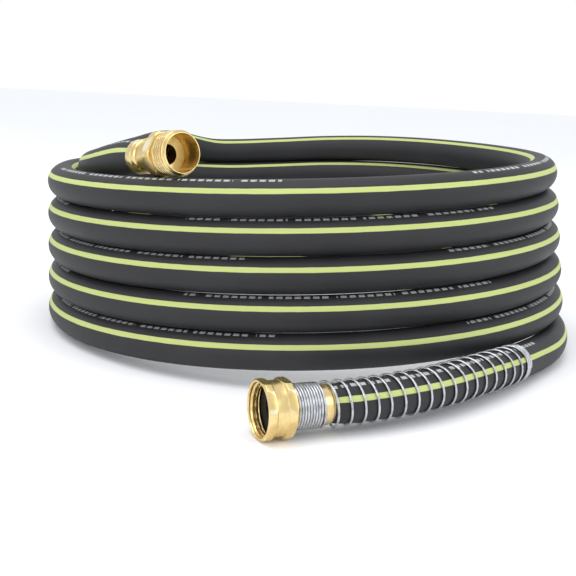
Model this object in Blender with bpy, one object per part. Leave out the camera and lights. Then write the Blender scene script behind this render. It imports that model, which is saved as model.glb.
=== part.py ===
"""Garden hose: a stacked coil of rubber hose with two loose ends, a swivel nut and a threaded end.

All sizes are in millimetres and become metres through MM. The hose is followed from the swivel nut,
along the floor, round the coil from its lowest turn to its top turn, and on to the threaded end.
"""
import math

import bpy
import bmesh
import numpy as np
from mathutils import Matrix, Vector

MM = 0.001

HOSE_DIAMETER = 22.0
GAP = 0.3
TURN_PITCH = HOSE_DIAMETER + GAP
COIL_RADIUS = 170.0
TURNS = 5
RADIUS_PER_LEVEL = 1.4
LEAN_PER_LEVEL = -1.7
NEST_DEPTH = 9.6
NEST_SKEW = 1.56
COIL_END_ANGLE = 112.5
COIL_CENTRE = (0.6, 48.185)

# Places about the coil: degrees round it, distance beyond its radius, height
NUT_PLACE = (-95.551, 100.87)
NUT_HEADING = 204.0
NUT_ACROSS_FLATS = 29.4
NUT_CORNER_RADIUS = 15.8
NUT_RIM_RADIUS = 15.0
NUT_COLLAR_LENGTH = 4.9
NUT_WAIST_LENGTH = 6.3
NUT_LENGTH = 15.9
NUT_WAIST_DIAMETER = 29.0
NUT_THREAD_BORE = 25.8
NUT_THREAD_DEPTH = 1.0
NUT_SOCKET_DEPTH = 12.3
THREAD_PITCH = 2.2
NUT_BACK_BORE = 17.2

TAILPIECE_FLANGE_DIAMETER = 22.6
TAILPIECE_FLANGE_THICKNESS = 2.0
TAILPIECE_NECK_DIAMETER = 16.4
TAILPIECE_BORE = 12.2
WASHER_DIAMETER = 27.0
WASHER_THICKNESS = 2.6
WASHER_BORE = 15.0

FERRULE_DIAMETER = HOSE_DIAMETER - 0.8
FERRULE_LENGTH = 22.3
FERRULE_LIP = 1.2

WIRE_DIAMETER = 1.4
SPRING_CLEARANCE = 0.4
SPRING_TURNS = ((9.5, 1.52), (5.0, 7.45), (4.0, 8.6), (4.0, 9.6), (4.0, 11.2), (1.0, 9.5), (3.0, 1.6))
SPRING_POINTS = 12

MALE_PLACE = (242.39, 1.54, 9.65)
MALE_BACKWARD = (-0.621, 0.775, -0.135)
MALE_THREAD_DIAMETER = 27.6
MALE_THREAD_HEIGHT = 1.0
MALE_THREAD_LENGTH = 15.0
MALE_CUP_BORE = 23.2
MALE_CUP_DEPTH = 16.6
MALE_BORE = 12.2
HEX_ACROSS_FLATS = 27.0
HEX_CORNER_RADIUS = 14.9
HEX_LENGTH = 7.0
TAPER_LENGTH = 6.0
WAIST_DIAMETER = 20.0
WAIST_LENGTH = 10.0
MALE_FERRULE_DIAMETER = HOSE_DIAMETER - 0.4
MALE_FERRULE_LENGTH = 12.0

# Knots of the loose stretches, as such places. Heights are above the lowest turn's centre line for the
# tail, and above the centre line at the coil's highest place for the top.
STRAIGHT_END = 12.0
LEAVING_ANGLE = 3.0
TAIL_ROUTE = ((-76.0, 63.6, 5.25), (-60.0, 35.7, 4.4), (-45.0, 18.9, 1.1), (-30.0, 13.5, 0.1),
              (-15.0, 8.9, 0.0))
TOP_ROUTE = ((133.0, -8.5, -3.45), (152.0, -20.5, -7.65), (170.0, -22.0, -11.65), (187.0, -21.5, -12.65),
             (204.0, -19.5, -8.35))

STEPS_PER_TURN = 48
KNOTS_PER_TURN = 24
SIDE_FACES = 4
NECK_WIDTH = 6.0
ROUND_STEPS = 36
LEAD_SPACING = 45.0
SPRING_LEAD_SPACING = 12.0
SPRING_LEAD_MARGIN = 10.0
LEAD_END_STEP = 4.0

BRASS = ("brass", (0.78, 0.58, 0.27), 0.32, 1.0)
STEEL = ("steel_wire", (0.72, 0.73, 0.75), 0.28, 1.0)
HOSE_RUBBER = ("hose_rubber", (0.07, 0.07, 0.072), 0.6, 0.0)
SEAL_RUBBER = ("seal_rubber", (0.03, 0.03, 0.03), 0.7, 0.0)


def clear_scene():
    for thing in list(bpy.data.objects):
        bpy.data.objects.remove(thing, do_unlink=True)


def material(spec):
    name, colour, roughness, metallic = spec
    found = bpy.data.materials.get(name)
    if found:
        return found
    made = bpy.data.materials.new(name)
    made.use_nodes = True
    shader = made.node_tree.nodes["Principled BSDF"]
    shader.inputs["Base Color"].default_value = (*colour, 1.0)
    shader.inputs["Roughness"].default_value = roughness
    shader.inputs["Metallic"].default_value = metallic
    return made


def place(name, data, spec):
    thing = bpy.data.objects.new(name, data)
    bpy.context.scene.collection.objects.link(thing)
    data.materials.append(material(spec))
    return thing


# The hose's route, in millimetres about the coil's own axis

def coil_point(turn_angle):
    """Centre of the hose after turn_angle degrees, counted from the right side of the lowest turn."""
    turn = math.floor(turn_angle / 360.0 + 1e-9)
    angle = math.radians(turn_angle - 360.0 * turn)
    if angle <= math.pi:
        nest = NEST_DEPTH * math.sin(math.pi * (angle / math.pi) ** NEST_SKEW) ** 2
        level = turn * math.sqrt(TURN_PITCH ** 2 - nest ** 2) / TURN_PITCH
    else:
        nest = 0.0
        level = turn + (1.0 + math.cos(angle)) / 2.0
    inward = nest if (TURNS - turn) % 2 else 0.0
    radius = COIL_RADIUS + RADIUS_PER_LEVEL * (TURNS - level) - inward
    return np.array((radius * math.cos(angle) + LEAN_PER_LEVEL * level,
                     radius * math.sin(angle),
                     TURN_PITCH * (level + 0.5)))


def about_coil(angle, beyond, height):
    turn = math.radians(angle)
    radius = COIL_RADIUS + beyond
    return np.array((radius * math.cos(turn), radius * math.sin(turn), height))


def top_level():
    """Height of the hose's centre line at the coil's highest place."""
    return (TURNS + 0.5) * TURN_PITCH


def tail_point(angle, beyond, above):
    return about_coil(angle, beyond, TURN_PITCH / 2.0 + above)


def top_point(angle, beyond, above):
    point = about_coil(angle, beyond, top_level() + above)
    point[0] += LEAN_PER_LEVEL * point[2] / TURN_PITCH
    return point


def nut_axis():
    """Unit vector from the nut's mouth back towards the hose."""
    heading = math.radians(NUT_HEADING + 180.0)
    return np.array((math.cos(heading), math.sin(heading), 0.0))


def nut_mouth():
    return about_coil(*NUT_PLACE, NUT_CORNER_RADIUS)


def male_mouth():
    angle, beyond, above = MALE_PLACE
    return about_coil(angle, beyond, top_level() + above)


def male_axis():
    """Unit vector from the threaded end's mouth back towards the hose."""
    axis = np.array(MALE_BACKWARD)
    return axis / np.linalg.norm(axis)


def female_length():
    return NUT_LENGTH + GAP + FERRULE_LENGTH


def male_length():
    return (MALE_THREAD_LENGTH + HEX_LENGTH + TAPER_LENGTH + WAIST_LENGTH + GAP + MALE_FERRULE_LENGTH)


def route_knots():
    """Points the hose passes through, with where the coil's first and last knots are in the list."""
    start = nut_mouth() + nut_axis() * (female_length() + GAP)
    end = male_mouth() + male_axis() * (male_length() + GAP)
    tail = [start, start + nut_axis() * STRAIGHT_END] + [tail_point(*values) for values in TAIL_ROUTE]
    tail.append(coil_point(-LEAVING_ANGLE))
    last_angle = 360.0 * TURNS + COIL_END_ANGLE
    count = int(round(last_angle / 360.0 * KNOTS_PER_TURN))
    coil = [coil_point(last_angle * k / count) for k in range(count + 1)]
    top = [coil_point(last_angle + LEAVING_ANGLE)] + [top_point(*values) for values in TOP_ROUTE]
    finish = [end + male_axis() * STRAIGHT_END, end, end - male_axis() * STRAIGHT_END]
    knots = [start - nut_axis() * STRAIGHT_END] + tail + coil + top + finish
    first = len(tail)
    return knots, first, first + count


def smooth_curve(knots, pieces=12):
    """Catmull-Rom curve through the knots, with chord-length spacing so that uneven knots stay smooth."""
    points = []
    marks = []
    for before, here, after, beyond in zip(knots, knots[1:], knots[2:], knots[3:]):
        t1 = np.linalg.norm(here - before)
        t2 = t1 + np.linalg.norm(after - here)
        t3 = t2 + np.linalg.norm(beyond - after)
        marks.append(len(points))
        for piece in range(pieces):
            t = t1 + (t2 - t1) * piece / pieces
            a1 = before * (t1 - t) / t1 + here * t / t1
            a2 = here * (t2 - t) / (t2 - t1) + after * (t - t1) / (t2 - t1)
            a3 = after * (t3 - t) / (t3 - t2) + beyond * (t - t2) / (t3 - t2)
            b1 = a1 * (t2 - t) / t2 + a2 * t / t2
            b2 = a2 * (t3 - t) / (t3 - t1) + a3 * (t - t1) / (t3 - t1)
            points.append(b1 * (t2 - t) / (t2 - t1) + b2 * (t - t1) / (t2 - t1))
    marks.append(len(points))
    points.append(knots[-2])
    return np.array(points), marks


class Route:
    """The hose's centre line, read by its length from the swivel end."""

    def __init__(self):
        knots, first, last = route_knots()
        self.points, marks = smooth_curve(knots)
        steps = np.linalg.norm(np.diff(self.points, axis=0), axis=1)
        self.lengths = np.concatenate(([0.0], np.cumsum(steps)))
        self.coil_start = self.lengths[marks[first]]
        self.coil_end = self.lengths[marks[last]]
        self.total = self.lengths[-1]

    def at(self, length):
        return np.array([np.interp(length, self.lengths, self.points[:, axis]) for axis in range(3)])

    def direction(self, length, reach=3.0):
        step = self.at(min(length + reach, self.total)) - self.at(max(length - reach, 0.0))
        return step / np.linalg.norm(step)


# Solids

def coil_mesh():
    """One closed solid of the stacked turns: round outside and inside, joined at narrow necks."""
    first = 0
    last = STEPS_PER_TURN * TURNS + int(round(COIL_END_ANGLE / 360.0 * STEPS_PER_TURN))
    radius = HOSE_DIAMETER / 2.0
    built = bmesh.new()
    centres = {}
    for step in range(first, last + 1):
        centre = coil_point(360.0 * step / STEPS_PER_TURN)
        angle = 2.0 * math.pi * step / STEPS_PER_TURN
        centres[step] = (centre, np.array((math.cos(angle), math.sin(angle), 0.0)))
    up = np.array((0.0, 0.0, 1.0))

    def corner(point):
        return built.verts.new(Vector(point * MM))

    def neck(below, above):
        """Outer and inner corner of the neck between one turn and the turn on top of it."""
        if below not in centres:
            centre, outward = centres[above]
            middle, rise = centre - up * TURN_PITCH / 2.0, up
        elif above not in centres:
            centre, outward = centres[below]
            middle, rise = centre + up * TURN_PITCH / 2.0, up
        else:
            centre, outward = centres[above]
            rise = centre - centres[below][0]
            rise = outward * np.dot(rise, outward) + up * rise[2]
            middle = centre - rise / 2.0
            rise = rise / np.linalg.norm(rise)
        across = outward - rise * np.dot(outward, rise)
        across = across / np.linalg.norm(across) * NECK_WIDTH / 2.0
        return corner(middle + across), corner(middle - across)

    necks = {step: neck(step, step + STEPS_PER_TURN) for step in range(first - STEPS_PER_TURN, last + 1)}

    def side(step, sign):
        """Corners up one side of a turn, from the neck below it to the neck above it."""
        centre, outward = centres[step]
        pair = 0 if sign > 0 else 1
        low = necks[step - STEPS_PER_TURN][pair]
        high = necks[step][pair]
        flat = []
        for end in (low, high):
            offset = np.array(end.co) / MM - centre
            flat.append(math.atan2(offset[2], sign * np.dot(offset, outward)))
        between = []
        for face in range(1, SIDE_FACES):
            slope = flat[0] + (flat[1] - flat[0]) * face / SIDE_FACES
            reach = outward * sign * math.cos(slope) + up * math.sin(slope)
            between.append(corner(centre + reach * radius))
        return [low] + between + [high]

    outer = {step: side(step, 1) for step in centres}
    inner = {step: side(step, -1) for step in centres}
    for step in range(first, last):
        for face in range(SIDE_FACES):
            built.faces.new((outer[step][face], outer[step + 1][face],
                             outer[step + 1][face + 1], outer[step][face + 1]))
            built.faces.new((inner[step][face + 1], inner[step + 1][face + 1],
                             inner[step + 1][face], inner[step][face]))
        if step + STEPS_PER_TURN >= last:
            built.faces.new((outer[step][-1], outer[step + 1][-1], inner[step + 1][-1], inner[step][-1]))
        if step - STEPS_PER_TURN < first:
            built.faces.new((inner[step][0], inner[step + 1][0], outer[step + 1][0], outer[step][0]))
    built.faces.new(outer[first] + inner[first][::-1])
    built.faces.new(inner[last] + outer[last][::-1])
    loose = [vert for vert in built.verts if not vert.link_faces]
    bmesh.ops.delete(built, geom=loose, context="VERTS")
    bmesh.ops.recalc_face_normals(built, faces=built.faces[:])
    mesh = bpy.data.meshes.new("hose_coil")
    built.to_mesh(mesh)
    built.free()
    return mesh


def make_coil():
    coil = place("hose_coil", coil_mesh(), HOSE_RUBBER)
    coil.data.shade_smooth()
    coil.data.set_sharp_from_angle(angle=math.radians(50.0))


def stretch(start, end, spacing):
    """Lengths from start to end at about this spacing, with a short first and last step."""
    count = max(2, int(round((end - start - 2.0 * LEAD_END_STEP) / spacing)))
    middle = np.linspace(start + LEAD_END_STEP, end - LEAD_END_STEP, count + 1)
    return [start, *middle, end]


def make_tube(name, points, diameter, spec, resolution):
    curve = bpy.data.curves.new(name, "CURVE")
    curve.dimensions = "3D"
    curve.bevel_depth = diameter / 2.0 * MM
    curve.bevel_resolution = resolution
    curve.use_fill_caps = True
    spline = curve.splines.new("POLY")
    spline.points.add(len(points) - 1)
    for knot, point in zip(spline.points, points):
        knot.co = (*(np.array(point) * MM), 1.0)
    return place(name, curve, spec)


def spring_length():
    return sum(turns * pitch for turns, pitch in SPRING_TURNS)


def make_leads(route):
    guarded = spring_length() - FERRULE_LENGTH + SPRING_LEAD_MARGIN
    near = [0.0, *np.arange(LEAD_END_STEP, guarded, SPRING_LEAD_SPACING)]
    rest = stretch(near[-1] + SPRING_LEAD_SPACING, route.coil_start - GAP, LEAD_SPACING)
    lower = [route.at(length) for length in near + rest]
    make_tube("hose_lead_female", lower, HOSE_DIAMETER, HOSE_RUBBER, 2)
    upper = [route.at(length) for length in stretch(route.coil_end + GAP, route.total, SPRING_LEAD_SPACING)]
    make_tube("hose_lead_male", upper, HOSE_DIAMETER, HOSE_RUBBER, 2)


def ring_reach(step, radius, corner):
    """How far out a ring's point lies: on a circle, or on a hexagon with its corners turned to a radius."""
    if not corner:
        return radius
    angle = 2.0 * math.pi * step / ROUND_STEPS
    sector = math.pi / 3.0
    return min(radius / math.cos((angle + sector / 2.0) % sector - sector / 2.0), corner)


def make_turned(name, stations, spec, origin, backward):
    """A closed ring turned about an axis. A station is its place along the axis and its radius, or for a
    hexagon half its width across the flats, then 0 or the radius of a hexagon's turned corners."""
    axis = Vector(backward)
    level = Vector((0.0, 0.0, 1.0)).cross(axis).normalized()
    upward = axis.cross(level)
    built = bmesh.new()
    rings = []
    for along, radius, corner in stations:
        ring = []
        for step in range(ROUND_STEPS):
            angle = 2.0 * math.pi * step / ROUND_STEPS
            reach = ring_reach(step, radius, corner)
            ring.append(built.verts.new(((level * math.cos(angle) + upward * math.sin(angle)) * reach
                                         + axis * along) * MM))
        rings.append(ring)
    for ring, following in zip(rings, rings[1:] + rings[:1]):
        for step in range(ROUND_STEPS):
            after = (step + 1) % ROUND_STEPS
            built.faces.new((ring[step], ring[after], following[after], following[step]))
    bmesh.ops.recalc_face_normals(built, faces=built.faces[:])
    mesh = bpy.data.meshes.new(name)
    built.to_mesh(mesh)
    built.free()
    thing = place(name, mesh, spec)
    thing.location = Vector(origin) * MM
    mesh.shade_smooth()
    mesh.set_sharp_from_angle(angle=math.radians(32.0))
    return thing


def thread_stations(start, end, root, crest, pitch):
    """Rounded ridges between two places along an axis, as alternate root and crest stations."""
    count = int((end - start) / pitch)
    stations = []
    for ridge in range(count):
        place_along = start + (end - start) * (ridge + 0.5) / count
        stations.append((place_along - pitch * 0.3, root, 0))
        stations.append((place_along - pitch * 0.08, crest, 0))
        stations.append((place_along + pitch * 0.08, crest, 0))
        stations.append((place_along + pitch * 0.3, root, 0))
    return stations


def make_nut():
    flats = NUT_ACROSS_FLATS / 2.0
    corner = NUT_CORNER_RADIUS
    rim = NUT_RIM_RADIUS
    waist = NUT_WAIST_DIAMETER / 2.0
    bore = NUT_THREAD_BORE / 2.0
    root = bore + NUT_THREAD_DEPTH
    front = NUT_COLLAR_LENGTH
    rear = NUT_COLLAR_LENGTH + NUT_WAIST_LENGTH
    outside = [(0.0, flats, rim), (0.9, flats, corner), (front - 0.6, flats, corner), (front, flats, rim),
               (front + 0.3, waist, 0), (rear - 0.3, waist, 0), (rear, flats, rim), (rear + 0.6, flats, corner),
               (NUT_LENGTH - 0.8, flats, corner), (NUT_LENGTH, flats, rim)]
    back = NUT_BACK_BORE / 2.0
    inside = [(NUT_LENGTH, back, 0), (NUT_SOCKET_DEPTH, back, 0), (NUT_SOCKET_DEPTH, root, 0)]
    ridges = thread_stations(1.0, washer_front() - 0.4, root, bore, THREAD_PITCH)
    inside += ridges[::-1] + [(0.4, root, 0), (0.0, root + 0.2, 0)]
    make_turned("coupling_nut", outside + inside, BRASS, nut_mouth(), nut_axis())


def flange_front():
    return NUT_SOCKET_DEPTH - GAP - TAILPIECE_FLANGE_THICKNESS


def washer_front():
    return flange_front() - GAP - WASHER_THICKNESS


def make_washer():
    outer = WASHER_DIAMETER / 2.0
    bore = WASHER_BORE / 2.0
    front = washer_front()
    back = front + WASHER_THICKNESS
    stations = [(front, outer, 0), (back, outer, 0), (back, bore, 0), (front, bore, 0)]
    make_turned("hose_washer", stations, SEAL_RUBBER, nut_mouth(), nut_axis())


def make_tailpiece():
    flange = TAILPIECE_FLANGE_DIAMETER / 2.0
    neck = TAILPIECE_NECK_DIAMETER / 2.0
    bore = TAILPIECE_BORE / 2.0
    front = flange_front()
    seat = front + TAILPIECE_FLANGE_THICKNESS
    stations = [(front, flange, 0), (seat, flange, 0), (seat, neck, 0), (NUT_LENGTH, neck, 0),
                (NUT_LENGTH, bore, 0), (front, bore, 0)]
    make_turned("female_tailpiece", stations, BRASS, nut_mouth(), nut_axis())


def make_female_ferrule():
    outer = FERRULE_DIAMETER / 2.0
    bore = TAILPIECE_BORE / 2.0
    start = NUT_LENGTH + GAP
    end = start + FERRULE_LENGTH
    stations = [(start, outer - 0.4, 0), (start + 0.4, outer, 0), (end - FERRULE_LIP, outer, 0),
                (end, outer - 0.5, 0), (end, bore, 0), (start, bore, 0)]
    make_turned("female_ferrule", stations, BRASS, nut_mouth(), nut_axis())


def make_spring(route):
    """A strain-relief spring: close turns on the ferrule, open turns along the hose, close end turns."""
    along = WIRE_DIAMETER / 2.0 + GAP - FERRULE_LENGTH
    turned = 0.0
    points = []
    for turns, pitch in SPRING_TURNS:
        count = int(round(turns * SPRING_POINTS))
        for _ in range(count):
            points.append(wire_point(route, along, turned))
            turned += 2.0 * math.pi / SPRING_POINTS
            along += pitch / SPRING_POINTS
    points.append(wire_point(route, along, turned))
    make_tube("spring_guard", points, WIRE_DIAMETER, STEEL, 0)


def wire_point(route, along, turned):
    """A point round the hose, or round the ferrule where along is below zero."""
    if along < 0.0:
        centre = nut_mouth() + nut_axis() * (female_length() + GAP + along)
        forward = nut_axis()
    else:
        centre = route.at(along)
        forward = route.direction(along)
    inner = np.interp(along, (-LEAD_END_STEP, 0.0), (FERRULE_DIAMETER / 2.0, HOSE_DIAMETER / 2.0))
    chord = math.cos(math.pi / SPRING_POINTS)
    radius = (inner + WIRE_DIAMETER / 2.0 + SPRING_CLEARANCE / 2.0) / chord
    level = np.cross((0.0, 0.0, 1.0), forward)
    level = level / np.linalg.norm(level)
    upward = np.cross(forward, level)
    return centre + (level * math.cos(turned) + upward * math.sin(turned)) * radius


def make_male_end():
    major = MALE_THREAD_DIAMETER / 2.0
    minor = major - MALE_THREAD_HEIGHT
    cup = MALE_CUP_BORE / 2.0
    bore = MALE_BORE / 2.0
    flats = HEX_ACROSS_FLATS / 2.0
    corner = HEX_CORNER_RADIUS
    waist = WAIST_DIAMETER / 2.0
    thread_end = MALE_THREAD_LENGTH
    hex_end = thread_end + HEX_LENGTH
    taper_end = hex_end + TAPER_LENGTH
    end = taper_end + WAIST_LENGTH
    outside = [(0.0, minor - 0.1, 0), (0.7, minor, 0)]
    outside += thread_stations(1.0, thread_end - 0.6, minor, major, THREAD_PITCH)
    outside += [(thread_end, minor, 0), (thread_end, flats - 0.2, corner - 0.8),
                (thread_end + 0.7, flats, corner), (hex_end, flats, corner), (taper_end, waist + 0.6, 0),
                (taper_end + 1.2, waist, 0), (end, waist, 0)]
    inside = [(end, bore, 0), (MALE_CUP_DEPTH, bore, 0), (MALE_CUP_DEPTH, cup, 0), (0.4, cup, 0),
              (0.0, cup + 0.15, 0)]
    make_turned("male_fitting", outside + inside, BRASS, male_mouth(), male_axis())
    outer = MALE_FERRULE_DIAMETER / 2.0
    start = end + GAP
    finish = start + MALE_FERRULE_LENGTH
    ring = [(start, outer - 0.8, 0), (start + 1.0, outer, 0), (finish - 1.4, outer, 0),
            (finish, outer - 0.7, 0), (finish, bore, 0), (start, bore, 0)]
    make_turned("male_ferrule", ring, BRASS, male_mouth(), male_axis())


def stand_in_frame():
    """Puts the part's origin on the floor under the middle of its outline."""
    shift = Matrix.Translation((COIL_CENTRE[0] * MM, COIL_CENTRE[1] * MM, 0.0))
    for thing in bpy.data.objects:
        thing.matrix_world = shift @ thing.matrix_world


def main():
    clear_scene()
    route = Route()
    make_coil()
    make_leads(route)
    make_nut()
    make_washer()
    make_tailpiece()
    make_female_ferrule()
    make_spring(route)
    make_male_end()
    bpy.context.view_layer.update()
    stand_in_frame()
    print("hose length in metres", round((route.total) / 1000.0, 3))


main()
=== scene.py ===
# Garden hose lying in a stacked coil, with a swivel nut and spring guard on its lower end and a
# threaded brass end on its upper one. Metres, +Z up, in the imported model's own frame.

import math

import bmesh
import bpy
import numpy as np
from mathutils import Matrix, Vector


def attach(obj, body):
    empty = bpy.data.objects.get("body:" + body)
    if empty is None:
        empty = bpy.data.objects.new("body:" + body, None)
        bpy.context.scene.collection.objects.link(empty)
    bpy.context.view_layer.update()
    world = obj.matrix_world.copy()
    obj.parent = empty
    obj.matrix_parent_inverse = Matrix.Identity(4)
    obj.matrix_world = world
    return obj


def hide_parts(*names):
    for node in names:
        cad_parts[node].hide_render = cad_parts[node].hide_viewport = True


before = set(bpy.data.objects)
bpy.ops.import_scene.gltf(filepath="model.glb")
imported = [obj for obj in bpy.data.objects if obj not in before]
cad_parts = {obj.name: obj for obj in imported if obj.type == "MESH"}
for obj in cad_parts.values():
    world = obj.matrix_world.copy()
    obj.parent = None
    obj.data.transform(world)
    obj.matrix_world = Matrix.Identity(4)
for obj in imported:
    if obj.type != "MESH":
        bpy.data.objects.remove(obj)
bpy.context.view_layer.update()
print("frame loaded with", len(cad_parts), "solids")

mm = 0.001


# Camera, floor and light

camera = {
    "place": (-0.01355, -0.72127, 0.17897),
    "down": 11.37,       # degrees below level
    "roll": 2.78,
    "lens": 65.6,        # millimetres, as the sensor's width
    "sensor": 36.0,
    "nearClip": 0.01,
}


def setCamera():
    down, roll = math.radians(camera["down"]), math.radians(camera["roll"])
    ahead = Vector((0.0, math.cos(down), -math.sin(down)))
    right = Vector((1.0, 0.0, 0.0))
    upward = right.cross(ahead)
    across = right * math.cos(roll) + upward * math.sin(roll)
    above = upward * math.cos(roll) - right * math.sin(roll)
    data = bpy.data.cameras.new("camera")
    data.lens = camera["lens"]
    data.sensor_width = camera["sensor"]
    data.clip_start = camera["nearClip"]
    view = bpy.data.objects.new("camera", data)
    bpy.context.scene.collection.objects.link(view)
    turned = Matrix((across, above, -ahead)).transposed().to_4x4()
    view.matrix_world = Matrix.Translation(camera["place"]) @ turned
    bpy.context.scene.camera = view


def toLinear(hexColour):
    channels = [int(hexColour[start:start + 2], 16) / 255.0 for start in (1, 3, 5)]
    bright = [c / 12.92 if c <= 0.04045 else ((c + 0.055) / 1.055) ** 2.4 for c in channels]
    return (*bright, 1.0)


def addNode(tree, kind, settings=None, values=None, links=None):
    # in a colour Mix, inputs 6 and 7 are the two colours and output 2 is the mixed one
    node = tree.nodes.new(kind)
    for name, value in (settings or {}).items():
        setattr(node, name, value)
    for socket, value in (values or {}).items():
        node.inputs[socket].default_value = value
    for socket, source in (links or {}).items():
        tree.links.new(source, node.inputs[socket])
    return node


def newFinish(name, values):
    finish = bpy.data.materials.new(name)
    finish.use_nodes = True
    tree = finish.node_tree
    shader = tree.nodes["Principled BSDF"]
    for socket, value in values.items():
        shader.inputs[socket].default_value = value
    return finish, tree, shader


studio = {
    "floorColour": "#fafbfd",
    "floorPale": "#fdfdfe",
    "floorSize": 14.0,
    "mottleScale": 3.0,
    "backdrop": (1.0, 1.0, 1.0, 1.0),         # seen behind the floor
    "surround": (0.95, 0.97, 1.0, 1.0),       # what lights the hose from all sides
    "surroundStrength": 1.0,
    "aim": (0.0, 0.0, 0.05),                  # what every lamp points at
    "lamps": (
        # name, place, width, depth, power, colour
        ("overhead", (-0.25, -0.25, 1.5), 1.4, 1.1, 9.0, (1.0, 0.99, 0.97)),
        ("front", (-0.9, -1.5, 0.75), 0.9, 0.7, 5.0, (1.0, 1.0, 1.0)),
        ("side", (1.5, -0.5, 0.7), 0.7, 0.9, 4.0, (0.97, 0.98, 1.0)),
    ),
}


def setStudio():
    scene = bpy.context.scene
    scene.view_settings.view_transform = "Standard"
    scene.view_settings.look = "None"
    world = bpy.data.worlds.new("studio")
    world.use_nodes = True
    tree = world.node_tree
    around = tree.nodes["Background"]
    around.inputs["Color"].default_value = studio["surround"]
    around.inputs["Strength"].default_value = studio["surroundStrength"]
    seen = addNode(tree, "ShaderNodeBackground", values={
        "Color": studio["backdrop"], "Strength": 1.0})
    rays = addNode(tree, "ShaderNodeLightPath")
    both = addNode(tree, "ShaderNodeMixShader", links={
        0: rays.outputs["Is Camera Ray"], 1: around.outputs[0], 2: seen.outputs[0]})
    tree.links.new(both.outputs[0], tree.nodes["World Output"].inputs["Surface"])
    scene.world = world
    for name, place, width, depth, power, colour in studio["lamps"]:
        data = bpy.data.lights.new(name, "AREA")
        data.shape = "RECTANGLE"
        data.size, data.size_y = width, depth
        data.energy = power
        data.color = colour
        lamp = bpy.data.objects.new(name, data)
        bpy.context.scene.collection.objects.link(lamp)
        towards = Vector(studio["aim"]) - Vector(place)
        turned = towards.to_track_quat("-Z", "Y").to_matrix().to_4x4()
        lamp.matrix_world = Matrix.Translation(place) @ turned
    # matt painted board, which gives the eye no reflection and only a faint unevenness
    finish, tree, shader = newFinish("matt painted board", {
        "Roughness": 0.9, "Specular IOR Level": 0.1})
    place = addNode(tree, "ShaderNodeTexCoord")
    mottle = addNode(tree, "ShaderNodeTexNoise", values={
        "Scale": studio["mottleScale"], "Detail": 2.0}, links={"Vector": place.outputs["Object"]})
    tint = addNode(tree, "ShaderNodeMix", {"data_type": "RGBA"}, {
        6: toLinear(studio["floorColour"]), 7: toLinear(studio["floorPale"])},
        {0: mottle.outputs[0]})
    tree.links.new(tint.outputs[2], shader.inputs["Base Color"])
    board = bmesh.new()
    bmesh.ops.create_grid(board, x_segments=2, y_segments=2, size=studio["floorSize"] / 2.0)
    mesh = bpy.data.meshes.new("floor")
    board.to_mesh(mesh)
    board.free()
    mesh.materials.append(finish)
    floor = bpy.data.objects.new("floor", mesh)
    bpy.context.scene.collection.objects.link(floor)


setCamera()
setStudio()
print("camera and studio set")


# The hose's route, as the solids follow it

hose = {
    "diameter": 0.022,
    "turnPitch": 0.0223,
    "coilRadius": 0.170,
    "turns": 5,
    "radiusPerLevel": 0.0014,
    "leanPerLevel": -0.0017,
    "nestDepth": 0.0096,
    "nestSkew": 1.56,
    "endAngle": 112.5,
    "centre": (0.0006, 0.048185, 0.0),
    "straightEnd": 0.012,
    "leavingAngle": 3.0,
    "knotsPerTurn": 24,
    # knots as degrees round the coil, distance beyond its radius, and height above the centre line
    # of the lowest turn for the tail, or of the highest turn for the top
    "tail": ((-76.0, 0.0636, 0.00525), (-60.0, 0.0357, 0.0044), (-45.0, 0.0189, 0.0011),
             (-30.0, 0.0135, 0.0001), (-15.0, 0.0089, 0.0)),
    "top": ((133.0, -0.0085, -0.00345), (152.0, -0.0205, -0.00765), (170.0, -0.0220, -0.01165),
            (187.0, -0.0215, -0.01265), (204.0, -0.0195, -0.00835)),
    "sides": 48,
    "ringStep": 0.0055,
    "overlap": 0.0015,    # how far its ends reach into the ferrules
    "squeezed": 0.0097,   # radius where a ferrule grips it, and how soon it is full again
    "squeezeLength": 0.009,
}

swivelEnd = {
    "mouth": (-0.025602, -0.221415, 0.0158),
    "heading": 24.0,
    "nutLength": 0.0159,
    "ferruleLength": 0.0223,
}

threadedEnd = {
    "mouth": (-0.0789, -0.10382, 0.1323),
    "backward": (-0.621, 0.775, -0.135),
    "threadLength": 0.015,
    "hexLength": 0.007,
    "taperLength": 0.006,
    "waistLength": 0.010,
    "ferruleLength": 0.012,
}

# from the threaded end's mouth to its sleeve
threadedBody = sum(threadedEnd[part] for part in (
    "threadLength", "hexLength", "taperLength", "waistLength"))

gap = 0.0003    # left between one piece and the next


def coilPoint(turnAngle):
    # centre of the hose after that many degrees, counted from the right side of the lowest turn
    turn = math.floor(turnAngle / 360.0 + 1e-9)
    angle = math.radians(turnAngle - 360.0 * turn)
    if angle <= math.pi:
        nest = hose["nestDepth"] * math.sin(math.pi * (angle / math.pi) ** hose["nestSkew"]) ** 2
        level = turn * math.sqrt(hose["turnPitch"] ** 2 - nest ** 2) / hose["turnPitch"]
    else:
        nest = 0.0
        level = turn + (1.0 + math.cos(angle)) / 2.0
    inward = nest if (hose["turns"] - turn) % 2 else 0.0
    radius = hose["coilRadius"] + hose["radiusPerLevel"] * (hose["turns"] - level) - inward
    point = (radius * math.cos(angle) + hose["leanPerLevel"] * level, radius * math.sin(angle),
             hose["turnPitch"] * (level + 0.5))
    return np.array(point) + np.array(hose["centre"])


def aboutCoil(degrees, beyond, height):
    angle = math.radians(degrees)
    radius = hose["coilRadius"] + beyond
    point = (radius * math.cos(angle), radius * math.sin(angle), height)
    return np.array(point) + np.array(hose["centre"])


def tailPoint(degrees, beyond, above):
    return aboutCoil(degrees, beyond, hose["turnPitch"] / 2.0 + above)


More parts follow.
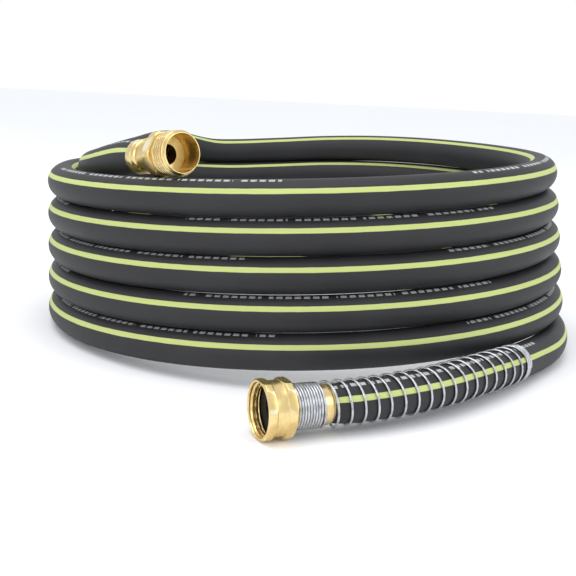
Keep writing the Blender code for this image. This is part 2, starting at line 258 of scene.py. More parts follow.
def topPoint(degrees, beyond, above):
    point = aboutCoil(degrees, beyond, (hose["turns"] + 0.5) * hose["turnPitch"] + above)
    point[0] += hose["leanPerLevel"] * point[2] / hose["turnPitch"]
    return point


def swivelAxis():
    heading = math.radians(swivelEnd["heading"])
    return np.array((math.cos(heading), math.sin(heading), 0.0))


def threadedAxis():
    axis = np.array(threadedEnd["backward"])
    return axis / np.linalg.norm(axis)


def hoseKnots():
    swivelReach = swivelEnd["nutLength"] + swivelEnd["ferruleLength"] + 2.0 * gap
    start = np.array(swivelEnd["mouth"]) + swivelAxis() * swivelReach
    threadedReach = threadedBody + threadedEnd["ferruleLength"] + 2.0 * gap
    end = np.array(threadedEnd["mouth"]) + threadedAxis() * threadedReach
    straight = hose["straightEnd"]
    knots = [start - swivelAxis() * straight, start, start + swivelAxis() * straight]
    knots += [tailPoint(*values) for values in hose["tail"]]
    knots.append(coilPoint(-hose["leavingAngle"]))
    lastAngle = 360.0 * hose["turns"] + hose["endAngle"]
    count = int(round(lastAngle / 360.0 * hose["knotsPerTurn"]))
    knots += [coilPoint(lastAngle * step / count) for step in range(count + 1)]
    knots.append(coilPoint(lastAngle + hose["leavingAngle"]))
    knots += [topPoint(*values) for values in hose["top"]]
    knots += [end + threadedAxis() * straight, end, end - threadedAxis() * straight]
    return knots


def smoothCurve(knots, pieces=12):
    # Catmull-Rom with chord-length spacing, which stays smooth where the knots are uneven
    points = []
    for before, here, after, beyond in zip(knots, knots[1:], knots[2:], knots[3:]):
        t1 = np.linalg.norm(here - before)
        t2 = t1 + np.linalg.norm(after - here)
        t3 = t2 + np.linalg.norm(beyond - after)
        for piece in range(pieces):
            t = t1 + (t2 - t1) * piece / pieces
            a1 = before * (t1 - t) / t1 + here * t / t1
            a2 = here * (t2 - t) / (t2 - t1) + after * (t - t1) / (t2 - t1)
            a3 = after * (t3 - t) / (t3 - t2) + beyond * (t - t2) / (t3 - t2)
            b1 = a1 * (t2 - t) / t2 + a2 * t / t2
            b2 = a2 * (t3 - t) / (t3 - t1) + a3 * (t - t1) / (t3 - t1)
            points.append(b1 * (t2 - t) / (t2 - t1) + b2 * (t - t1) / (t2 - t1))
    points.append(knots[-2])
    return np.array(points)


def lengthsAlong(points):
    # how far along the line through them each point lies
    return np.concatenate(([0.0], np.cumsum(np.linalg.norm(np.diff(points, axis=0), axis=1))))


routePoints = smoothCurve(hoseKnots())
routeLengths = lengthsAlong(routePoints)
routeTotal = float(routeLengths[-1])


def routeAt(length):
    return np.array([np.interp(length, routeLengths, routePoints[:, axis]) for axis in range(3)])


def routeDirection(length, reach=0.003):
    step = routeAt(min(length + reach, routeTotal)) - routeAt(max(length - reach, 0.0))
    return step / np.linalg.norm(step)


def sectionAt(place, forward):
    # local X points out of the coil, Y up and Z back along the hose, so the section is right-handed
    forward = Vector(forward)
    outward = forward.cross(Vector((0.0, 0.0, 1.0))).normalized()
    upward = outward.cross(forward)
    turned = Matrix((outward, upward, -forward)).transposed().to_4x4()
    return Matrix.Translation(Vector(place)) @ turned


def rollAlong(built, places, sides, radii, marks, lengths):
    # a flat grid, one metre square, rolled into a tube and laid through every place, with its ends
    # closed; marks keeps where each point would be on the straight tube
    rings = len(places) - 1
    bmesh.ops.create_grid(built, x_segments=rings, y_segments=sides, size=0.5)
    for vert in built.verts:
        ring = int(round((vert.co.x + 0.5) * rings))
        around = 2.0 * math.pi * round((vert.co.y + 0.5) * sides) / sides
        flat = Vector((math.cos(around), math.sin(around), 0.0)) * radii[ring]
        vert[marks] = (flat.x, flat.y, lengths[ring])
        vert.co = places[ring] @ flat
    bmesh.ops.remove_doubles(built, verts=built.verts[:], dist=1e-6)
    bmesh.ops.holes_fill(built, edges=[edge for edge in built.edges if edge.is_boundary], sides=0)
    bmesh.ops.recalc_face_normals(built, faces=built.faces[:])


def finishPiece(built, name, finish, body, nodes, smoothBelow=35.0):
    mesh = bpy.data.meshes.new(name)
    built.to_mesh(mesh)
    built.free()
    mesh.shade_smooth()
    mesh.set_sharp_from_angle(angle=math.radians(smoothBelow))
    mesh.materials.append(finish)
    piece = bpy.data.objects.new(name, mesh)
    bpy.context.scene.collection.objects.link(piece)
    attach(piece, body)
    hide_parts(*nodes)
    print(name, "made with", sum(len(face.vertices) - 2 for face in mesh.polygons), "triangles")
    return piece


# EPDM rubber, extruded: matt charcoal with a broad soft sheen, a fine grain that follows the draw,
# and two lime lines of the same rubber run in with it

rubberLook = {
    "body": "#29292b",
    "bodyPale": "#303032",
    "stripe": "#b3bf6e",
    "stripePale": "#c0ca84",
    "print": "#b9bbba",
    "stripeAngles": (27.0, 126.0),
    "stripeHalfWidth": 1.6 * mm,
    "stripeSoftness": 0.16 * mm,
    "stripeWander": 0.35 * mm,
    "wanderLength": 9.0 * mm,
    "printAngle": 72.0,
    "printHalfHeight": 1.3 * mm,
    "printSoftness": 0.08 * mm,
    # length and inked share of a dash, of a word's run of dashes and of a whole line of them
    "dashes": ((5.2 * mm, 0.68), (38.3 * mm, 0.89), (310.0 * mm, 0.62)),
    "grainWidth": 0.5 * mm,     # really about 0.1 mm, drawn coarser so that it shows
    "grainDepth": 0.06 * mm,
    "drawLineWidth": 0.8 * mm,
    "drawLineLength": 60.0 * mm,
    "patchWidth": 45.0 * mm,    # pale bloom and duller patches
    "roughness": (0.50, 0.62),
}


def makeRubber():
    look = rubberLook
    finish, tree, shader = newFinish("extruded rubber", {
        "Roughness": 0.55, "IOR": 1.5, "Specular IOR Level": 0.3})
    place = addNode(tree, "ShaderNodeAttribute", {"attribute_name": "alongHose"})
    parts = addNode(tree, "ShaderNodeSeparateXYZ", links={0: place.outputs["Vector"]})
    around = addNode(tree, "ShaderNodeMath", {"operation": "ARCTAN2"},
                     links={0: parts.outputs["Y"], 1: parts.outputs["X"]})
    radius = hose["diameter"] / 2.0

    def offLine(degrees):
        # how far round the hose from a line along it, in metres
        away = addNode(tree, "ShaderNodeMath", {"operation": "SUBTRACT"},
                       {1: math.radians(degrees)}, {0: around.outputs[0]})
        size = addNode(tree, "ShaderNodeMath", {"operation": "ABSOLUTE"},
                       links={0: away.outputs[0]})
        return addNode(tree, "ShaderNodeMath", {"operation": "MULTIPLY"},
                       {1: radius}, {0: size.outputs[0]}).outputs[0]

    def within(distance, half, softness):
        # one inside the band, nothing outside it
        return addNode(tree, "ShaderNodeMapRange", {"interpolation_type": "SMOOTHSTEP"}, {
            "From Min": half - softness, "From Max": half + softness,
            "To Min": 1.0, "To Max": 0.0}, {"Value": distance})

    # stripes with a slightly uneven edge
    first, second = look["stripeAngles"]
    nearest = addNode(tree, "ShaderNodeMath", {"operation": "MINIMUM"}, links={
        0: offLine(first), 1: offLine(second)})
    wander = addNode(tree, "ShaderNodeTexNoise", values={
        "Scale": 1.0 / look["wanderLength"], "Detail": 1.0},
        links={"Vector": place.outputs["Vector"]})
    shifted = addNode(tree, "ShaderNodeMath", {"operation": "MULTIPLY_ADD"}, {
        1: look["stripeWander"], 2: -look["stripeWander"] / 2.0}, {0: wander.outputs[0]})
    ragged = addNode(tree, "ShaderNodeMath", {"operation": "ADD"}, links={
        0: nearest.outputs[0], 1: shifted.outputs[0]})
    stripe = within(ragged.outputs[0], look["stripeHalfWidth"], look["stripeSoftness"])

    # plain dashes, in runs of uneven length
    dashes = within(offLine(look["printAngle"]), look["printHalfHeight"], look["printSoftness"])
    for length, share in look["dashes"]:
        count = addNode(tree, "ShaderNodeMath", {"operation": "DIVIDE"}, {1: length},
                        {0: parts.outputs["Z"]})
        part = addNode(tree, "ShaderNodeMath", {"operation": "FRACT"}, links={0: count.outputs[0]})
        shown = addNode(tree, "ShaderNodeMath", {"operation": "LESS_THAN"}, {1: share},
                        {0: part.outputs[0]})
        dashes = addNode(tree, "ShaderNodeMath", {"operation": "MULTIPLY"}, links={
            0: dashes.outputs[0], 1: shown.outputs[0]})

    # grain, and faint lines left by the die along the hose
    grain = addNode(tree, "ShaderNodeTexNoise", values={
        "Scale": 1.0 / look["grainWidth"], "Detail": 2.0},
        links={"Vector": place.outputs["Vector"]})
    stretched = addNode(tree, "ShaderNodeVectorMath", {"operation": "MULTIPLY"}, {
        1: (1.0, 1.0, look["drawLineWidth"] / look["drawLineLength"])},
        {0: place.outputs["Vector"]})
    drawLines = addNode(tree, "ShaderNodeTexNoise", values={
        "Scale": 1.0 / look["drawLineWidth"], "Detail": 2.0},
        links={"Vector": stretched.outputs[0]})
    patches = addNode(tree, "ShaderNodeTexNoise", values={
        "Scale": 1.0 / look["patchWidth"], "Detail": 3.0},
        links={"Vector": place.outputs["Vector"]})

    bloom = addNode(tree, "ShaderNodeMapRange", values={
        "From Min": 0.38, "From Max": 0.68}, links={"Value": patches.outputs[0]})
    body = addNode(tree, "ShaderNodeMix", {"data_type": "RGBA"}, {
        6: toLinear(look["body"]), 7: toLinear(look["bodyPale"])}, {0: bloom.outputs[0]})
    lime = addNode(tree, "ShaderNodeMix", {"data_type": "RGBA"}, {
        6: toLinear(look["stripe"]), 7: toLinear(look["stripePale"])}, {0: drawLines.outputs[0]})
    striped = addNode(tree, "ShaderNodeMix", {"data_type": "RGBA"}, links={
        0: stripe.outputs[0], 6: body.outputs[2], 7: lime.outputs[2]})
    printWearAndEdgeHighlight = addNode(tree, "ShaderNodeMapRange", values={
        "From Min": 0.32, "From Max": 0.46}, links={"Value": grain.outputs[0]})
    inked = addNode(tree, "ShaderNodeMath", {"operation": "MULTIPLY"}, links={
        0: dashes.outputs[0], 1: printWearAndEdgeHighlight.outputs[0]})
    printed = addNode(tree, "ShaderNodeMix", {"data_type": "RGBA"}, {7: toLinear(look["print"])}, {
        0: inked.outputs[0], 6: striped.outputs[2]})
    tree.links.new(printed.outputs[2], shader.inputs["Base Color"])

    low, high = look["roughness"]
    rough = addNode(tree, "ShaderNodeMapRange", values={
        "From Min": 0.3, "From Max": 0.7, "To Min": low, "To Max": high},
        links={"Value": patches.outputs[0]})
    tree.links.new(rough.outputs[0], shader.inputs["Roughness"])
    relief = addNode(tree, "ShaderNodeMath", {"operation": "MULTIPLY_ADD"}, {1: 0.6}, {
        0: drawLines.outputs[0], 2: grain.outputs[0]})
    bump = addNode(tree, "ShaderNodeBump", values={"Strength": 0.35, "Distance": look["grainDepth"]},
                   links={"Height": relief.outputs[0]})
    tree.links.new(bump.outputs[0], shader.inputs["Normal"])
    return finish


def makeHose(finish):
    # the ends reach a little into their ferrules
    reach = hose["overlap"]
    count = int(round(routeTotal / hose["ringStep"]))
    lengths = [routeTotal * step / count for step in range(count + 1)]
    centres = [routeAt(length) for length in lengths]
    centres[0] = centres[0] - routeDirection(0.0) * reach
    centres[-1] = centres[-1] + routeDirection(routeTotal) * reach
    places = [sectionAt(centre, routeDirection(length)) for centre, length in zip(centres, lengths)]
    full, squeezed = hose["diameter"] / 2.0, hose["squeezed"]
    radii = []
    for length in lengths:
        eased = min(1.0, min(length, routeTotal - length) / hose["squeezeLength"])
        radii.append(squeezed + (full - squeezed) * eased * eased * (3.0 - 2.0 * eased))
    built = bmesh.new()
    marks = built.verts.layers.float_vector.new("alongHose")
    rollAlong(built, places, hose["sides"], radii, marks, lengths)
    piece = finishPiece(built, "hose", finish, "hose",
                        ("hose_coil", "hose_lead_female", "hose_lead_male"),
                        smoothBelow=60.0)
    return piece, centres


hosePiece, hoseCentres = makeHose(makeRubber())


# Turned and milled metal

lathe = {
    "segments": 72,          # round a plain turned piece
    "fineSegments": 96,      # round one with threads
    "pointsPerPitch": 14,    # along a thread
    "sharpAngle": 28.0,      # edges above this are broken
    "burrAngle": 8.0,        # and, where a flat is milled, those above this
    "wallSlack": 0.05 * mm,  # how near the wall's radius a point is taken for the wall
    "threadSteepness": 1.8,
    "threadSink": 0.5,       # what the rounded ridge loses at its foot
}


def turnedShell(profile, segments=lathe["segments"]):
    # a closed outline of (place along the axis, radius) spun about local Z
    shell = bmesh.new()
    verts = [shell.verts.new((radius, 0.0, along)) for along, radius in profile]
    edges = [shell.edges.new(pair) for pair in zip(verts, verts[1:] + verts[:1])]
    bmesh.ops.spin(shell, geom=verts + edges, cent=(0.0, 0.0, 0.0), axis=(0.0, 0.0, 1.0),
                   dvec=(0.0, 0.0, 0.0), angle=2.0 * math.pi, steps=segments,
                   use_merge=True, use_normal_flip=False, use_duplicate=False)
    bmesh.ops.remove_doubles(shell, verts=shell.verts[:], dist=1e-7)
    bmesh.ops.recalc_face_normals(shell, faces=shell.faces[:])
    return shell


def roundEdges(shell, edges, size, segments=3):
    bmesh.ops.bevel(shell, geom=edges, offset=size, offset_type="OFFSET", segments=segments,
                    profile=0.5, affect="EDGES", material=-1, clamp_overlap=True)


def sharpEdges(shell):
    limit = math.radians(lathe["sharpAngle"])
    return [edge for edge in shell.edges if edge.calc_face_angle(0.0) > limit]


def threadZone(start, end, radius, pitch):
    # outline of a plain wall, with enough points for a thread to be cut in it
    count = int(math.ceil((end - start) / pitch * lathe["pointsPerPitch"]))
    return [(start + (end - start) * step / count, radius) for step in range(count + 1)]


def cutThread(shell, start, end, radius, height, pitch):
    # raises a rounded helical ridge from a plain wall; a negative height raises it inwards
    for vert in shell.verts:
        reach = math.hypot(vert.co.x, vert.co.y)
        along = vert.co.z
        if not start <= along <= end or abs(reach - radius) > lathe["wallSlack"]:
            continue
        phase = (along / pitch - math.atan2(vert.co.y, vert.co.x) / (2.0 * math.pi)) % 1.0
        wave = 0.5 + 0.5 * math.cos(2.0 * math.pi * phase)
        ridge = min(1.0, max(0.0, wave * lathe["threadSteepness"] - lathe["threadSink"]))
        fade = min(1.0, (along - start) / pitch, (end - along) / pitch)
        grown = 1.0 + height * ridge * max(0.0, fade) / reach
        vert.co.x *= grown
        vert.co.y *= grown


def edgeOrder(edge):
    # a number for where the edge lies, because bevel leaves edges in another order every time
    middle = edge.verts[0].co + edge.verts[1].co
    return middle.x + 7.1 * middle.y + 53.3 * middle.z


def millFlats(shell, acrossFlats, roundTo, sides=6):
    # cuts flats round local Z, closes each cut and takes the burr off its edges
    faces = set()
    for side in range(sides):
        angle = 2.0 * math.pi * (side + 0.5) / sides
        outward = Vector((math.cos(angle), math.sin(angle), 0.0))
        bmesh.ops.bisect_plane(
            shell, geom=shell.verts[:] + shell.edges[:] + shell.faces[:], dist=1e-7,
            plane_co=outward * acrossFlats / 2.0, plane_no=outward, clear_outer=True)
        shell.edges.sort(key=edgeOrder)
        opened = [edge for edge in shell.edges if edge.is_boundary]
        faces.update(bmesh.ops.holes_fill(shell, edges=opened, sides=0)["faces"])
    bmesh.ops.recalc_face_normals(shell, faces=shell.faces[:])
    limit = math.radians(lathe["burrAngle"])
    edges = {edge for face in faces if face.is_valid for edge in face.edges
             if edge.calc_face_angle(0.0) > limit}
    roundEdges(shell, sorted(edges, key=edgeOrder), roundTo, segments=2)


def axisPlace(origin, backward):
    # local Z runs back from the mouth, local Y as near to straight up as it can
    axis = Vector(backward)
    level = Vector((0.0, 0.0, 1.0)).cross(axis).normalized()
    turned = Matrix((level, axis.cross(level), axis)).transposed().to_4x4()
    return Matrix.Translation(Vector(origin)) @ turned


swivelPlace = axisPlace(swivelEnd["mouth"], swivelAxis())
threadedPlace = axisPlace(threadedEnd["mouth"], threadedAxis())


# Yellow brass, turned on a lathe and left bright: warm gold with fine rings round the axis,
# a slightly dull skin, a painted highlight on the sharp edges and painted shade in the corners

brassLook = {
    "metal": "#e9d196",
    "dull": "#d5b671",
    # painted highlight on the sharp edges
    "edge": "#f8ebc6",
    # painted shade between the threads and in the corners
    "paintedShade": "#94713a",
    "ringWidth": 0.35 * mm,
    "ringDepth": 0.01 * mm,
    "stainWidth": 7.0 * mm,
    "roughness": (0.22, 0.34),
}


def makeBrass(name, place, look):
    finish, tree, shader = newFinish(name, {"Metallic": 1.0, "Roughness": 0.28})
    where = addNode(tree, "ShaderNodeTexCoord")
    turn = place.inverted()
    own = addNode(tree, "ShaderNodeMapping", {"vector_type": "POINT"}, {
        "Location": turn.to_translation(), "Rotation": turn.to_euler("XYZ")},
        {"Vector": where.outputs["Object"]})
    parts = addNode(tree, "ShaderNodeSeparateXYZ", links={0: own.outputs[0]})
    square = addNode(tree, "ShaderNodeMath", {"operation": "MULTIPLY"}, links={
        0: parts.outputs["X"], 1: parts.outputs["X"]})
    squares = addNode(tree, "ShaderNodeMath", {"operation": "MULTIPLY_ADD"}, links={
        0: parts.outputs["Y"], 1: parts.outputs["Y"], 2: square.outputs[0]})
    reach = addNode(tree, "ShaderNodeMath", {"operation": "SQRT"}, links={0: squares.outputs[0]})
    ringed = addNode(tree, "ShaderNodeCombineXYZ", links={
        "X": reach.outputs[0], "Z": parts.outputs["Z"]})
    rings = addNode(tree, "ShaderNodeTexNoise", values={
        "Scale": 1.0 / look["ringWidth"], "Detail": 2.0}, links={"Vector": ringed.outputs[0]})
    stains = addNode(tree, "ShaderNodeTexNoise", values={
        "Scale": 1.0 / look["stainWidth"], "Detail": 4.0}, links={"Vector": where.outputs["Object"]})
    dulled = addNode(tree, "ShaderNodeMapRange", values={"From Min": 0.42, "From Max": 0.75},
                     links={"Value": stains.outputs[0]})
    skin = addNode(tree, "ShaderNodeMix", {"data_type": "RGBA"}, {
        6: toLinear(look["metal"]), 7: toLinear(look["dull"])}, {0: dulled.outputs[0]})
    form = addNode(tree, "ShaderNodeNewGeometry")
    # painted highlight: the sharp edges turn a pale cream, found by pointiness
    paintedHighlight = addNode(tree, "ShaderNodeMapRange", values={"From Min": 0.52, "From Max": 0.60},
                     links={"Value": form.outputs["Pointiness"]})
    printWearAndEdgeHighlight = addNode(tree, "ShaderNodeMix", {"data_type": "RGBA"}, {7: toLinear(look["edge"])}, {
        0: paintedHighlight.outputs[0], 6: skin.outputs[2]})
    # painted shade: darker between the threads and in the corners, where the mesh's pointiness is
    # low
    paintedShade = addNode(tree, "ShaderNodeMapRange", values={
        "From Min": 0.40, "From Max": 0.49, "To Min": 1.0, "To Max": 0.0},
        links={"Value": form.outputs["Pointiness"]})
    withPaintedShade = addNode(tree, "ShaderNodeMix", {"data_type": "RGBA"}, {7: toLinear(look["paintedShade"])}, {
        0: paintedShade.outputs[0], 6: printWearAndEdgeHighlight.outputs[2]})
    tree.links.new(withPaintedShade.outputs[2], shader.inputs["Base Color"])
    low, high = look["roughness"]
    mixed = addNode(tree, "ShaderNodeMath", {"operation": "MULTIPLY_ADD"}, {1: 0.5}, {
        0: rings.outputs[0], 2: stains.outputs[0]})
    rough = addNode(tree, "ShaderNodeMapRange", values={
        "From Min": 0.5, "From Max": 1.0, "To Min": low, "To Max": high},
        links={"Value": mixed.outputs[0]})
    tree.links.new(rough.outputs[0], shader.inputs["Roughness"])
    bump = addNode(tree, "ShaderNodeBump", values={"Strength": 0.25, "Distance": look["ringDepth"]},
                   links={"Height": rings.outputs[0]})
    tree.links.new(bump.outputs[0], shader.inputs["Normal"])
    return finish


nut = {
    "acrossFlats": 29.4 * mm,
    "cornerRadius": 15.8 * mm,
    "rimRadius": 15.0 * mm,
    "collarLength": 4.9 * mm,
    "waistLength": 6.3 * mm,
    "waistRadius": 14.5 * mm,
    "waistStep": 0.3 * mm,
    "chamfer": 0.8 * mm,
    "socketDepth": 12.3 * mm,
    "threadRadius": 13.9 * mm,
    "threadDepth": 1.0 * mm,
    "threadPitch": 2.2 * mm,
    "threadEnds": (0.9 * mm, 6.8 * mm),
    "mouthFlare": 0.3 * mm,
    "backBore": 8.6 * mm,
    "rounding": 0.12 * mm,
    "flatRounding": 0.15 * mm,
}


def makeNut(finish):
    part = nut
    corner, rim, chamfer = part["cornerRadius"], part["rimRadius"], part["chamfer"]
    waist, step = part["waistRadius"], part["waistStep"]
    wall, bore, depth = part["threadRadius"], part["backBore"], part["socketDepth"]
    front = part["collarLength"]
    rear = front + part["waistLength"]
    end = swivelEnd["nutLength"]
    outside = [(0.0, rim), (chamfer, corner), (front - chamfer, corner), (front, rim),
               (front + step, waist), (rear - step, waist), (rear, rim),
               (rear + chamfer, corner), (end - chamfer, corner), (end, rim)]
    threadStart, threadEnd = part["threadEnds"]
    threads = threadZone(threadStart, threadEnd, wall, part["threadPitch"])
    inside = [(end, bore), (depth, bore), (depth, wall)]
    inside += threads[::-1] + [(0.0, wall + part["mouthFlare"])]
    shell = turnedShell(outside + inside, lathe["fineSegments"])
    roundEdges(shell, sharpEdges(shell), part["rounding"])
    cutThread(shell, threadStart, threadEnd, wall, -part["threadDepth"], part["threadPitch"])
    millFlats(shell, part["acrossFlats"], part["flatRounding"])
    bmesh.ops.transform(shell, matrix=swivelPlace, verts=shell.verts[:])
    finishPiece(shell, "swivel-nut", finish, "swivel_nut", ("coupling_nut",))


swivelBrass = makeBrass("turned brass of the swivel end", swivelPlace, brassLook)
makeNut(swivelBrass)


# Moulded seal rubber: near black and matt, with a fine even grain

sealLook = {
    "body": "#161616",
    "bodyPale": "#222221",
    "grainWidth": 0.3 * mm,
    "grainDepth": 0.04 * mm,
}


def makeSealRubber():
    look = sealLook
    finish, tree, shader = newFinish("moulded seal rubber", {
        "Roughness": 0.7, "Specular IOR Level": 0.3})
    place = addNode(tree, "ShaderNodeTexCoord")
    grain = addNode(tree, "ShaderNodeTexNoise", values={
        "Scale": 1.0 / look["grainWidth"], "Detail": 3.0}, links={"Vector": place.outputs["Object"]})
    tint = addNode(tree, "ShaderNodeMix", {"data_type": "RGBA"}, {
        6: toLinear(look["body"]), 7: toLinear(look["bodyPale"])}, {0: grain.outputs[0]})
    tree.links.new(tint.outputs[2], shader.inputs["Base Color"])
    bump = addNode(tree, "ShaderNodeBump", values={"Strength": 0.4, "Distance": look["grainDepth"]},
                   links={"Height": grain.outputs[0]})
    tree.links.new(bump.outputs[0], shader.inputs["Normal"])
    return finish


washer = {
    "front": 7.1 * mm,
    "thickness": 2.6 * mm,
    "radius": 13.5 * mm,
    "bore": 7.5 * mm,
    "rounding": 0.35 * mm,
}


def makeWasher(finish):
    part = washer
    back = part["front"] + part["thickness"]
    shell = turnedShell([(part["front"], part["radius"]), (back, part["radius"]),
                         (back, part["bore"]), (part["front"], part["bore"])])
    roundEdges(shell, sharpEdges(shell), part["rounding"])
    bmesh.ops.transform(shell, matrix=swivelPlace, verts=shell.verts[:])
    finishPiece(shell, "nut-seal", finish, "swivel_nut", ("hose_washer",))


makeWasher(makeSealRubber())


# The stem that the nut turns on, and the sleeves crimped over the hose's ends

waterBore = 6.1 * mm

stem = {
    "front": 10.0 * mm,
    "flange": 2.0 * mm,
    "flangeRadius": 11.3 * mm,
    "neck": 8.2 * mm,
    "rounding": 0.2 * mm,
}

# inside both sleeves, and how far their edges are broken
sleeve = {
    "socket": 9.85 * mm,
    "socketDepth": 2.0 * mm,
    "rounding": 0.12 * mm,
}

swivelFerrule = {
    "radius": 10.6 * mm,
    "chamfer": 0.4 * mm,
    "lip": 1.2 * mm,
    "lipDrop": 0.45 * mm,
}

threadedFerrule = {
    "radius": 10.8 * mm,
    "frontLength": 1.0 * mm,
    "frontDrop": 0.8 * mm,
    "groove": (4.6 * mm, 5.6 * mm),
    "grooveDepth": 0.35 * mm,
    "grooveSlope": 0.25 * mm,
    "lip": 1.4 * mm,
    "lipDrop": 0.65 * mm,
}


def makeStem(finish):
    part = stem
    seat = part["front"] + part["flange"]
    end = swivelEnd["nutLength"]
    shell = turnedShell([(part["front"], part["flangeRadius"]), (seat, part["flangeRadius"]),
                         (seat, part["neck"]), (end, part["neck"]), (end, waterBore),
                         (part["front"], waterBore)])
    roundEdges(shell, sharpEdges(shell), part["rounding"])
    bmesh.ops.transform(shell, matrix=swivelPlace, verts=shell.verts[:])
    finishPiece(shell, "swivel-stem", finish, "hose", ("female_tailpiece",))


def makeFerrule(finish, name, node, place, outside):
    start, end = outside[0][0], outside[-1][0]
    seat = end - sleeve["socketDepth"]
    inside = [(end, sleeve["socket"]), (seat, sleeve["socket"]),
              (seat, waterBore), (start, waterBore)]
    shell = turnedShell(outside + inside)
    roundEdges(shell, sharpEdges(shell), sleeve["rounding"])
    bmesh.ops.transform(shell, matrix=place, verts=shell.verts[:])
    finishPiece(shell, name, finish, "hose", (node,))


def makeSwivelFerrule(finish):
    part = swivelFerrule
    start = swivelEnd["nutLength"] + gap
    end = start + swivelEnd["ferruleLength"]
    radius, chamfer = part["radius"], part["chamfer"]
    outside = [(start, radius - chamfer), (start + chamfer, radius), (end - part["lip"], radius),
               (end, radius - part["lipDrop"])]
    makeFerrule(finish, "swivel-ferrule", "female_ferrule", swivelPlace, outside)


makeStem(swivelBrass)
makeSwivelFerrule(swivelBrass)


# Bright drawn steel wire, close-wound on the ferrule and open along the hose

spring = {
    "wireRadius": 0.7 * mm,
    "clearance": 0.12 * mm,
    # turns and the pitch they are wound at
    "turns": ((9.5, 1.52 * mm), (5.0, 7.45 * mm), (4.0, 8.6 * mm), (4.0, 9.6 * mm),
              (4.0, 11.2 * mm), (1.0, 9.5 * mm), (3.0, 1.6 * mm)),
    "blendTurns": 0.17,    # either side of a change of pitch, over which it changes
    "blendSteps": 9,
    "stepOver": (-4.0 * mm, 2.0 * mm),    # where it steps from the ferrule on to the hose
    "pointsPerTurn": 26,
    "sides": 10,
}

steelLook = {
    "metal": "#c6c8cc",
    "dull": "#9b9da1",
    "drawLineWidth": 0.25 * mm,
    "drawLineLength": 12.5 * mm,
    "spotWidth": 4.0 * mm,
    "roughness": (0.20, 0.36),
}


def makeSteel():
    look = steelLook
    finish, tree, shader = newFinish("drawn steel wire", {"Metallic": 1.0, "Roughness": 0.3})
    place = addNode(tree, "ShaderNodeAttribute", {"attribute_name": "alongWire"})
    stretched = addNode(tree, "ShaderNodeVectorMath", {"operation": "MULTIPLY"}, {
        1: (1.0, 1.0, look["drawLineWidth"] / look["drawLineLength"])}, {0: place.outputs["Vector"]})
    draw = addNode(tree, "ShaderNodeTexNoise", values={
        "Scale": 1.0 / look["drawLineWidth"], "Detail": 2.0}, links={"Vector": stretched.outputs[0]})
    spots = addNode(tree, "ShaderNodeTexNoise", values={
        "Scale": 1.0 / look["spotWidth"], "Detail": 3.0}, links={"Vector": place.outputs["Vector"]})
    dulled = addNode(tree, "ShaderNodeMapRange", values={"From Min": 0.45, "From Max": 0.7},
                     links={"Value": spots.outputs[0]})
    tint = addNode(tree, "ShaderNodeMix", {"data_type": "RGBA"}, {
        6: toLinear(look["metal"]), 7: toLinear(look["dull"])}, {0: dulled.outputs[0]})
    tree.links.new(tint.outputs[2], shader.inputs["Base Color"])
    low, high = look["roughness"]
    rough = addNode(tree, "ShaderNodeMapRange", values={
        "From Min": 0.3, "From Max": 0.7, "To Min": low, "To Max": high},
        links={"Value": draw.outputs[0]})
    tree.links.new(rough.outputs[0], shader.inputs["Roughness"])
    return finish


def springPoint(along, turned):
    # round the hose, or round the ferrule where along is below zero
    if along < 0.0:
        reach = swivelEnd["nutLength"] + swivelEnd["ferruleLength"] + 2.0 * gap + along
        centre, forward = np.array(swivelEnd["mouth"]) + swivelAxis() * reach, swivelAxis()
    else:
        centre, forward = routeAt(along), routeDirection(along)
    inner = np.interp(along, spring["stepOver"], (swivelFerrule["radius"], hose["diameter"] / 2.0))
    level = np.cross((0.0, 0.0, 1.0), forward)
    level = level / np.linalg.norm(level)
    outward = level * math.cos(turned) + np.cross(forward, level) * math.sin(turned)
    return centre + outward * (inner + spring["wireRadius"] + spring["clearance"]), outward


def makeSpring(finish):
    part = spring
    start = part["wireRadius"] + gap - swivelEnd["ferruleLength"]
    turnMarks = np.cumsum([0.0] + [turns for turns, pitch in part["turns"]])
    alongMarks = start + np.cumsum([0.0] + [turns * pitch for turns, pitch in part["turns"]])
    count = int(turnMarks[-1] * part["pointsPerTurn"])
    turns = np.linspace(0.0, turnMarks[-1], count + 1)
    blend = np.linspace(-part["blendTurns"], part["blendTurns"], part["blendSteps"])
    alongs = np.mean([np.interp(np.clip(turns + shift, 0.0, turnMarks[-1]), turnMarks, alongMarks)
                      for shift in blend], axis=0)
    spots = [springPoint(along, 2.0 * math.pi * turn) for along, turn in zip(alongs, turns)]
    centres = np.array([centre for centre, outward in spots])
    tangents = np.gradient(centres, axis=0)
    places = []
    for (centre, outward), tangent in zip(spots, tangents):
        along = Vector(tangent).normalized()
        across = along.cross(Vector(outward)).normalized()
        turned = Matrix((across.cross(along), across, along)).transposed().to_4x4()
        places.append(Matrix.Translation(Vector(centre)) @ turned)
    built = bmesh.new()
    marks = built.verts.layers.float_vector.new("alongWire")
    radii = [part["wireRadius"]] * len(places)
    rollAlong(built, places, part["sides"], radii, marks, lengthsAlong(centres))
    finishPiece(built, "spring-guard", finish, "hose", ("spring_guard",),
                smoothBelow=60.0)


makeSpring(makeSteel())


# The threaded end: thread, hexagon, taper and waist turned from one bar, then its own sleeve

threaded = {
    "threadRadius": 12.45 * mm,
    "threadHeight": 1.35 * mm,
    "threadPitch": 2.2 * mm,
    "threadEnds": (0.9 * mm, 14.2 * mm),
    "mouthDrop": 0.3 * mm,
    "acrossFlats": 27.0 * mm,
    "cornerRadius": 14.9 * mm,
    "hexChamfer": 0.7 * mm,
    "hexDrop": 0.8 * mm,
    "shoulder": (2.4 * mm, 12.6 * mm),    # behind the hexagon, and its radius there
    "waistRadius": 10.0 * mm,
    "waistFillet": (1.2 * mm, 0.5 * mm),    # along the axis and out from it
    "cupRadius": 11.6 * mm,
    "cupDepth": 16.6 * mm,
    "rounding": 0.15 * mm,
}


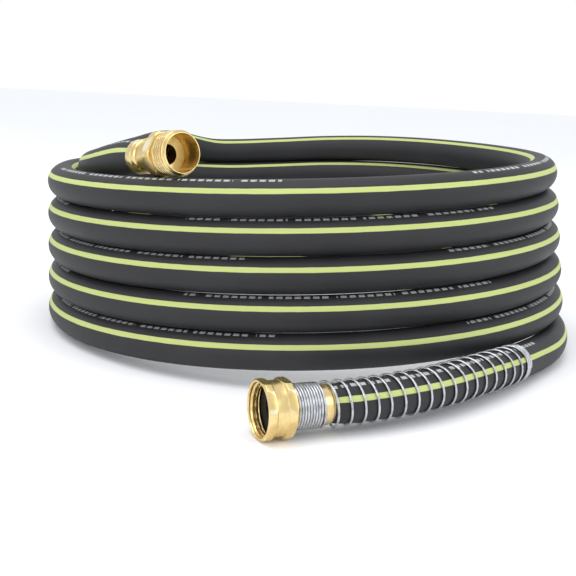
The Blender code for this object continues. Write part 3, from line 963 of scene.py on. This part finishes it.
def makeThreadedEnd(finish):
    part = threaded
    thread, corner, waist = part["threadRadius"], part["cornerRadius"], part["waistRadius"]
    cup, depth = part["cupRadius"], part["cupDepth"]
    hexStart = threadedEnd["threadLength"]
    hexEnd = hexStart + threadedEnd["hexLength"]
    taperEnd = hexEnd + threadedEnd["taperLength"]
    end = taperEnd + threadedEnd["waistLength"]
    threadStart, threadStop = part["threadEnds"]
    shoulderLength, shoulderRadius = part["shoulder"]
    filletLength, filletHeight = part["waistFillet"]
    outside = [(0.0, thread - part["mouthDrop"])]
    outside += threadZone(threadStart, threadStop, thread, part["threadPitch"])
    outside += [(hexStart, thread), (hexStart, corner - part["hexDrop"]),
                (hexStart + part["hexChamfer"], corner), (hexEnd, corner),
                (hexEnd + shoulderLength, shoulderRadius), (taperEnd, waist + filletHeight),
                (taperEnd + filletLength, waist), (end, waist)]
    inside = [(end, waterBore), (depth, waterBore), (depth, cup), (0.0, cup)]
    shell = turnedShell(outside + inside, lathe["fineSegments"])
    roundEdges(shell, sharpEdges(shell), part["rounding"])
    millFlats(shell, part["acrossFlats"], part["rounding"])
    cutThread(shell, threadStart, threadStop, thread, part["threadHeight"], part["threadPitch"])
    bmesh.ops.transform(shell, matrix=threadedPlace, verts=shell.verts[:])
    finishPiece(shell, "threaded-end", finish, "hose", ("male_fitting",))


def makeThreadedFerrule(finish):
    part = threadedFerrule
    start = threadedBody + gap
    end = start + threadedEnd["ferruleLength"]
    radius, slope = part["radius"], part["grooveSlope"]
    near, far = (start + place for place in part["groove"])
    low = radius - part["grooveDepth"]
    outside = [(start, radius - part["frontDrop"]), (start + part["frontLength"], radius),
               (near, radius), (near + slope, low), (far - slope, low), (far, radius),
               (end - part["lip"], radius), (end, radius - part["lipDrop"])]
    makeFerrule(finish, "threaded-ferrule", "male_ferrule", threadedPlace, outside)


# the same brass, a little greyer and duller
threadedLook = {**brassLook, "metal": "#e3cb90", "dull": "#cdb06c", "roughness": (0.24, 0.36)}
threadedBrass = makeBrass("turned brass of the threaded end", threadedPlace, threadedLook)
makeThreadedEnd(threadedBrass)
makeThreadedFerrule(threadedBrass)
